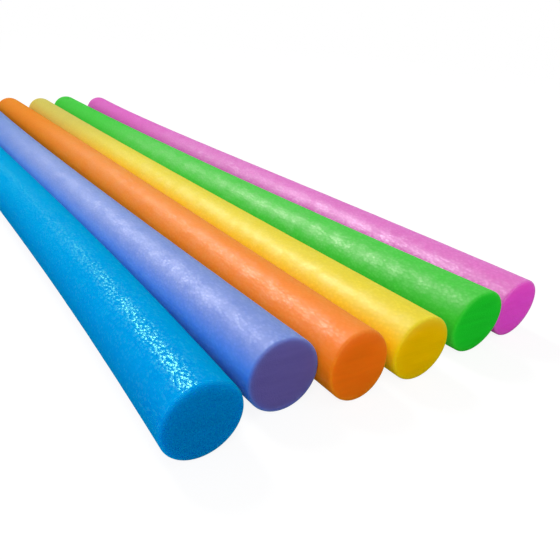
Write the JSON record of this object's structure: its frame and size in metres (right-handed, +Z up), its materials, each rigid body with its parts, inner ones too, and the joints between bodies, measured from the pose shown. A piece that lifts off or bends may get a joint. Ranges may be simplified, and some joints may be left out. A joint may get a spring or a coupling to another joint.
{
  "type": "pool noodle set",
  "caption": "Loose round rods of solid foam in assorted colours, lying side by side, each gently bowed, with flat cut ends and softly rounded rims. Each one lifts off by itself.",
  "frame": {"origin": "on the ground, under the middle of the row's box", "axes": "+Z up, +Y along the noodles towards their far ends, +X across the row from the blue noodle towards the pink one"},
  "size_m": [0.4318, 1.342, 0.0658],
  "materials": {
    "foam_blue": "satin",
    "foam_violet": "satin",
    "foam_orange": "satin",
    "foam_yellow": "satin",
    "foam_green": "satin",
    "foam_pink": "satin"
  },
  "bodies": {
    "blue": {"noodle_blue": "foam_blue"},
    "violet": {"noodle_violet": "foam_violet"},
    "orange": {"noodle_orange": "foam_orange"},
    "yellow": {"noodle_yellow": "foam_yellow"},
    "green": {"noodle_green": "foam_green"},
    "pink": {"noodle_pink": "foam_pink"}
  },
  "joints": [
    {"name": "lift_violet", "type": "slide", "parent": "blue", "child": "violet", "axis": [0, 0, 1], "range_m": [0, 0.2]},
    {"name": "lift_orange", "type": "slide", "parent": "blue", "child": "orange", "axis": [0, 0, 1], "range_m": [0, 0.2]},
    {"name": "lift_yellow", "type": "slide", "parent": "blue", "child": "yellow", "axis": [0, 0, 1], "range_m": [0, 0.2]},
    {"name": "lift_green", "type": "slide", "parent": "blue", "child": "green", "axis": [0, 0, 1], "range_m": [0, 0.2]},
    {"name": "lift_pink", "type": "slide", "parent": "blue", "child": "pink", "axis": [0, 0, 1], "range_m": [0, 0.2]}
  ]
}
